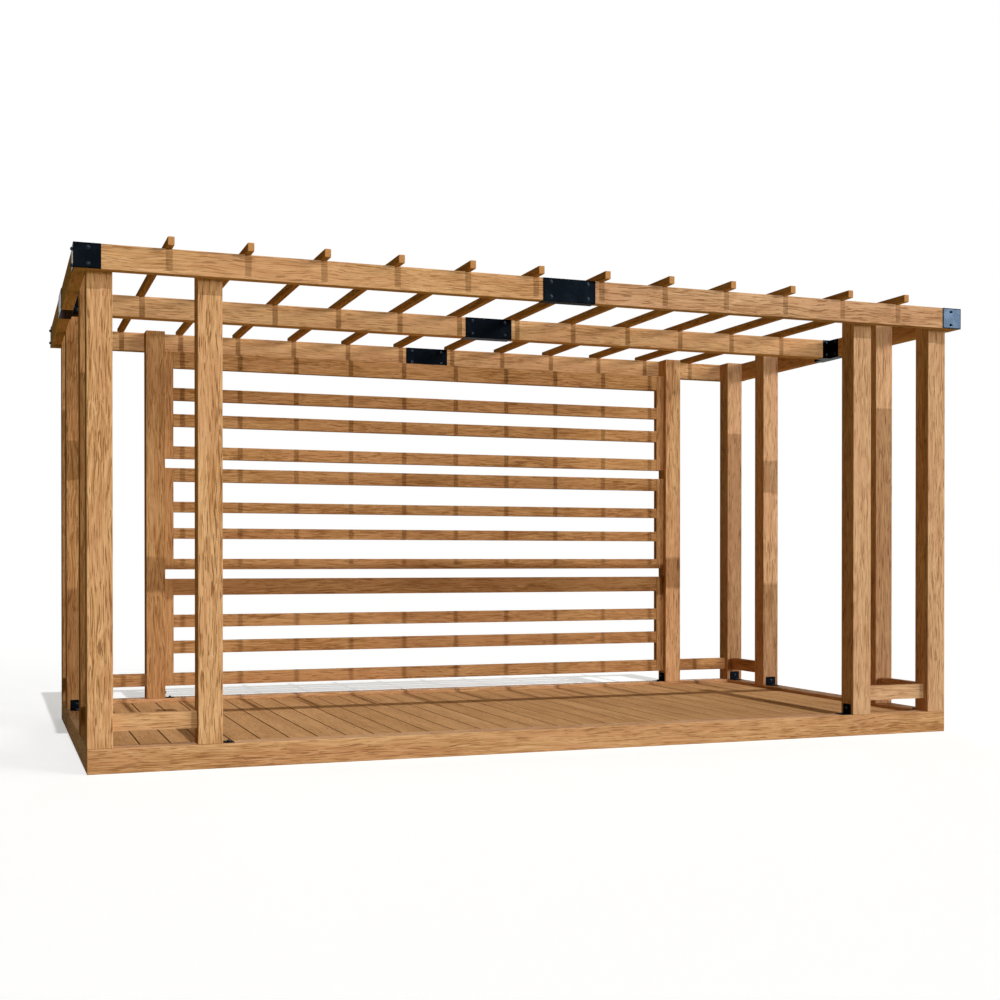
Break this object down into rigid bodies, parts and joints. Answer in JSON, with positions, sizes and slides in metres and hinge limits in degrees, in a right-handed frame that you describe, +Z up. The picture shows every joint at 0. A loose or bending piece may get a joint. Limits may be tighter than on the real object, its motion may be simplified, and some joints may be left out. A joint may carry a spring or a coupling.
{
  "type": "open timber gazebo",
  "caption": "Open rectangular timber gazebo: plank deck in a heavy base frame, clustered corner posts, slatted rear wall and a batten roof on beams tied by black plates.",
  "frame": {"origin": "on the ground under the base frame, at the middle of the plan", "axes": "+X along the long side, +Z up; the open front faces -Y and the slatted wall stands on the +Y side"},
  "size_m": [5.036, 2.775, 2.55],
  "materials": {
    "base_timber": "oiled, sawn faces with eased edges",
    "deck_boards": "oiled planed boards",
    "post_timber": "oiled planed timber",
    "beam_timber": "oiled planed timber",
    "batten_timber": "oiled planed timber",
    "panel_timber": "oiled planed timber",
    "black_steel": "satin black powder coat"
  },
  "bodies": {
    "root": {"rim_front": "base_timber", "rim_rear": "base_timber", "rim_left": "base_timber", "rim_right": "base_timber", "deck": "deck_boards", "floor_joists": "base_timber", "post_front_left_corner": "post_timber", "post_front_left": "post_timber", "post_front_right": "post_timber", "post_front_right_corner": "post_timber", "post_rear_left_corner": "post_timber", "post_rear_left": "post_timber", "post_rear_right": "post_timber", "post_rear_right_corner": "post_timber", "post_left_front": "post_timber", "post_left_rear": "post_timber", "post_right_front": "post_timber", "post_right_rear": "post_timber", "low_rails_front_left": "panel_timber", "low_rails_front_right": "panel_timber", "low_rails_rear_left": "panel_timber", "low_rails_rear_right": "panel_timber", "beam_front_left": "beam_timber", "beam_front_right": "beam_timber", "beam_middle_left": "beam_timber", "beam_middle_right": "beam_timber", "beam_rear_left": "beam_timber", "beam_rear_right": "beam_timber", "beam_left_side": "beam_timber", "beam_right_side": "beam_timber", "battens": "batten_timber", "wall_panel_bottom": "panel_timber", "wall_panel_middle": "panel_timber", "wall_panel_top": "panel_timber", "splice_front": "black_steel", "splice_middle": "black_steel", "splice_rear": "black_steel", "hanger_left": "black_steel", "hanger_right": "black_steel", "corner_bracket_front_left": "black_steel", "corner_bracket_front_right": "black_steel", "corner_bracket_rear_left": "black_steel", "corner_bracket_rear_right": "black_steel", "post_feet": "black_steel"}
  },
  "joints": []
}
